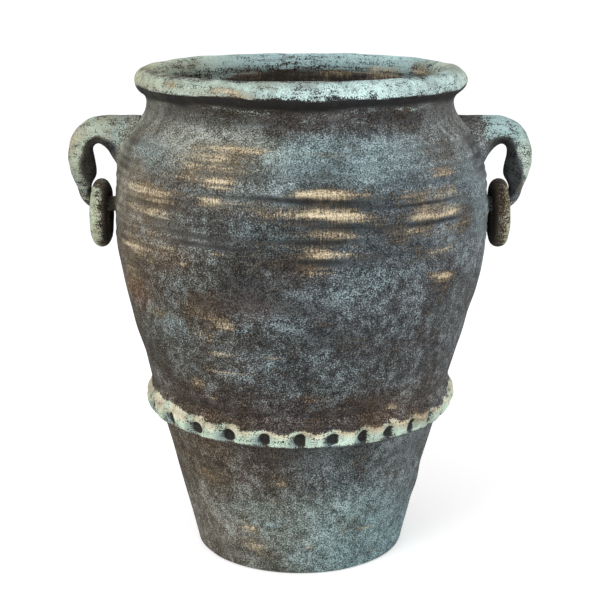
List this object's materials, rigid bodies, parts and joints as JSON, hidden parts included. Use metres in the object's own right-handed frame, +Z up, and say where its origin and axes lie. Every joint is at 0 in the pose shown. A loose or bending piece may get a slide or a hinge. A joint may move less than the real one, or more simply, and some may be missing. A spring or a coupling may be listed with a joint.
{
  "type": "clay planter",
  "caption": "Tall thrown-clay garden urn with a rolled rim, a thumb-pressed band round its waist, loop handles and hanging clay rings.",
  "frame": {"origin": "middle of the foot's underside, on the floor and on the pot's turning axis", "axes": "+Z up along the turning axis; the two handles lie along +X (right) and -X (left); the picture looks along +Y"},
  "size_m": [0.6154, 0.4944, 0.6502],
  "materials": {
    "weathered_body": "fired clay with a dark matte wash and rubbed teal and ochre patches",
    "verdigris_trim": "fired clay with a pale verdigris wash, cream and ochre rubs and dark pits"
  },
  "bodies": {
    "pot": {"base_section": "weathered_body", "belly_section": "weathered_body", "rim_roll": "verdigris_trim", "thumb_band": "verdigris_trim", "handle_left": "verdigris_trim", "handle_right": "verdigris_trim"},
    "ring_left": {"ring_left": "verdigris_trim"},
    "ring_right": {"ring_right": "verdigris_trim"}
  },
  "joints": [
    {"name": "ring_left_swing", "type": "hinge", "parent": "pot", "child": "ring_left", "pos_m": [-0.2635, 0, 0.49], "axis": [0, 1, 0], "range_deg": [-3, 120]},
    {"name": "ring_right_swing", "type": "hinge", "parent": "pot", "child": "ring_right", "pos_m": [0.2635, 0, 0.49], "axis": [0, -1, 0], "range_deg": [-3, 120]}
  ]
}
